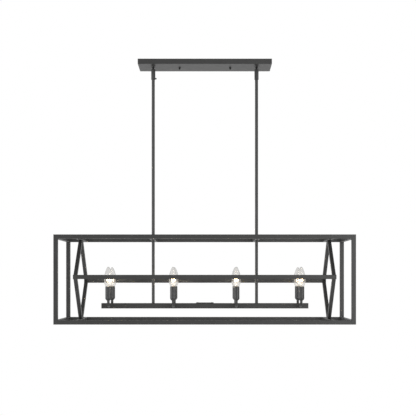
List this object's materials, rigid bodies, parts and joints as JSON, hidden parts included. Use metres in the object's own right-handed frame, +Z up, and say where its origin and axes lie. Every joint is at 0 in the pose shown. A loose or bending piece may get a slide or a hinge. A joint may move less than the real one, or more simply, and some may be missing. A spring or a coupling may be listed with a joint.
{
  "type": "linear island pendant",
  "caption": "Long box cage of square tube hung on two rods from a slim rectangular canopy; candle lights on a bar inside, a diamond near each end; hangs over a table or island.",
  "frame": {"origin": "centre of the canopy and its mounting strap, in the ceiling plane", "axes": "+X along the length, +Y to the rear, +Z up out of the canopy into the ceiling"},
  "size_m": [1.067, 0.305, 0.9594],
  "materials": {
    "satin_black": "satin black paint, smooth enough for soft reflections",
    "dark_sleeve": "satin black paint on the candle sleeves",
    "zinc_steel": "zinc plated steel, satin",
    "green_screw": "green ground screw",
    "holder_plastic": "moulded black plastic, matte",
    "bulb_base": "nickel plated screw base, satin",
    "bulb_glass": "clear glass"
  },
  "bodies": {
    "canopy": {"canopy": "satin_black", "mounting_strap": "zinc_steel", "strap_studs": "zinc_steel", "cap_nuts": "satin_black", "ground_screw": "green_screw", "swivel_seats": "zinc_steel"},
    "hanger": {"swivel_balls": "satin_black", "swivel_collars": "satin_black", "collar_set_screws": "satin_black", "inner_stems": "satin_black", "left_rod": "satin_black", "right_rod": "satin_black", "rod_cross_bars": "satin_black", "diamond_cross_bars": "satin_black", "lamp_bar": "satin_black", "bar_end_caps": "satin_black", "wire_cover": "satin_black", "cover_screws": "satin_black", "socket_arms": "satin_black", "socket_cups": "satin_black", "candle_sleeves": "dark_sleeve", "lampholders": "holder_plastic", "front_top_rail": "satin_black", "front_bottom_rail": "satin_black", "front_mid_rail": "satin_black", "front_left_post": "satin_black", "front_right_post": "satin_black", "rear_top_rail": "satin_black", "rear_bottom_rail": "satin_black", "rear_mid_rail": "satin_black", "rear_left_post": "satin_black", "rear_right_post": "satin_black", "left_top_depth_rail": "satin_black", "left_diamond_front_top": "satin_black", "left_diamond_rear_top": "satin_black", "left_bottom_depth_rail": "satin_black", "left_diamond_front_bottom": "satin_black", "left_diamond_rear_bottom": "satin_black", "right_top_depth_rail": "satin_black", "right_diamond_front_top": "satin_black", "right_diamond_rear_top": "satin_black", "right_bottom_depth_rail": "satin_black", "right_diamond_front_bottom": "satin_black", "right_diamond_rear_bottom": "satin_black"},
    "bulb_front_1_base": {"bulb_front_1_base": "bulb_base"},
    "bulb_front_1_glass": {"bulb_front_1_glass": "bulb_glass"},
    "bulb_front_2_base": {"bulb_front_2_base": "bulb_base"},
    "bulb_front_2_glass": {"bulb_front_2_glass": "bulb_glass"},
    "bulb_front_3_base": {"bulb_front_3_base": "bulb_base"},
    "bulb_front_3_glass": {"bulb_front_3_glass": "bulb_glass"},
    "bulb_front_4_base": {"bulb_front_4_base": "bulb_base"},
    "bulb_front_4_glass": {"bulb_front_4_glass": "bulb_glass"},
    "bulb_rear_1_base": {"bulb_rear_1_base": "bulb_base"},
    "bulb_rear_1_glass": {"bulb_rear_1_glass": "bulb_glass"},
    "bulb_rear_2_base": {"bulb_rear_2_base": "bulb_base"},
    "bulb_rear_2_glass": {"bulb_rear_2_glass": "bulb_glass"},
    "bulb_rear_3_base": {"bulb_rear_3_base": "bulb_base"},
    "bulb_rear_3_glass": {"bulb_rear_3_glass": "bulb_glass"},
    "bulb_rear_4_base": {"bulb_rear_4_base": "bulb_base"},
    "bulb_rear_4_glass": {"bulb_rear_4_glass": "bulb_glass"}
  },
  "joints": [
    {"name": "hanger_swing", "type": "hinge", "parent": "canopy", "child": "hanger", "pos_m": [0, 0, -0.01214], "axis": [1, 0, 0], "range_deg": [-22, 22]},
    {"name": "bulb_front_1_lift", "type": "slide", "parent": "hanger", "child": "bulb_front_1_base", "axis": [0, 0, 1], "range_m": [0, 0.01016]},
    {"name": "bulb_front_1_turn", "type": "hinge", "parent": "bulb_front_1_base", "child": "bulb_front_1_glass", "pos_m": [-0.349, -0.065, -0.829], "axis": [0, 0, 1], "range_deg": [0, 1440]},
    {"name": "bulb_front_2_lift", "type": "slide", "parent": "hanger", "child": "bulb_front_2_base", "axis": [0, 0, 1], "range_m": [0, 0.01016]},
    {"name": "bulb_front_2_turn", "type": "hinge", "parent": "bulb_front_2_base", "child": "bulb_front_2_glass", "pos_m": [-0.1145, -0.065, -0.829], "axis": [0, 0, 1], "range_deg": [0, 1440]},
    {"name": "bulb_front_3_lift", "type": "slide", "parent": "hanger", "child": "bulb_front_3_base", "axis": [0, 0, 1], "range_m": [0, 0.01016]},
    {"name": "bulb_front_3_turn", "type": "hinge", "parent": "bulb_front_3_base", "child": "bulb_front_3_glass", "pos_m": [0.1145, -0.065, -0.829], "axis": [0, 0, 1], "range_deg": [0, 1440]},
    {"name": "bulb_front_4_lift", "type": "slide", "parent": "hanger", "child": "bulb_front_4_base", "axis": [0, 0, 1], "range_m": [0, 0.01016]},
    {"name": "bulb_front_4_turn", "type": "hinge", "parent": "bulb_front_4_base", "child": "bulb_front_4_glass", "pos_m": [0.349, -0.065, -0.829], "axis": [0, 0, 1], "range_deg": [0, 1440]},
    {"name": "bulb_rear_1_lift", "type": "slide", "parent": "hanger", "child": "bulb_rear_1_base", "axis": [0, 0, 1], "range_m": [0, 0.01016]},
    {"name": "bulb_rear_1_turn", "type": "hinge", "parent": "bulb_rear_1_base", "child": "bulb_rear_1_glass", "pos_m": [-0.349, 0.065, -0.829], "axis": [0, 0, 1], "range_deg": [0, 1440]},
    {"name": "bulb_rear_2_lift", "type": "slide", "parent": "hanger", "child": "bulb_rear_2_base", "axis": [0, 0, 1], "range_m": [0, 0.01016]},
    {"name": "bulb_rear_2_turn", "type": "hinge", "parent": "bulb_rear_2_base", "child": "bulb_rear_2_glass", "pos_m": [-0.1145, 0.065, -0.829], "axis": [0, 0, 1], "range_deg": [0, 1440]},
    {"name": "bulb_rear_3_lift", "type": "slide", "parent": "hanger", "child": "bulb_rear_3_base", "axis": [0, 0, 1], "range_m": [0, 0.01016]},
    {"name": "bulb_rear_3_turn", "type": "hinge", "parent": "bulb_rear_3_base", "child": "bulb_rear_3_glass", "pos_m": [0.1145, 0.065, -0.829], "axis": [0, 0, 1], "range_deg": [0, 1440]},
    {"name": "bulb_rear_4_lift", "type": "slide", "parent": "hanger", "child": "bulb_rear_4_base", "axis": [0, 0, 1], "range_m": [0, 0.01016]},
    {"name": "bulb_rear_4_turn", "type": "hinge", "parent": "bulb_rear_4_base", "child": "bulb_rear_4_glass", "pos_m": [0.349, 0.065, -0.829], "axis": [0, 0, 1], "range_deg": [0, 1440]}
  ],
  "couplings": [
    {"joint": "bulb_front_1_turn", "follows": "bulb_front_1_lift", "rad_per_m": 2473.7},
    {"joint": "bulb_front_2_turn", "follows": "bulb_front_2_lift", "rad_per_m": 2473.7},
    {"joint": "bulb_front_3_turn", "follows": "bulb_front_3_lift", "rad_per_m": 2473.7},
    {"joint": "bulb_front_4_turn", "follows": "bulb_front_4_lift", "rad_per_m": 2473.7},
    {"joint": "bulb_rear_1_turn", "follows": "bulb_rear_1_lift", "rad_per_m": 2473.7},
    {"joint": "bulb_rear_2_turn", "follows": "bulb_rear_2_lift", "rad_per_m": 2473.7},
    {"joint": "bulb_rear_3_turn", "follows": "bulb_rear_3_lift", "rad_per_m": 2473.7},
    {"joint": "bulb_rear_4_turn", "follows": "bulb_rear_4_lift", "rad_per_m": 2473.7}
  ]
}
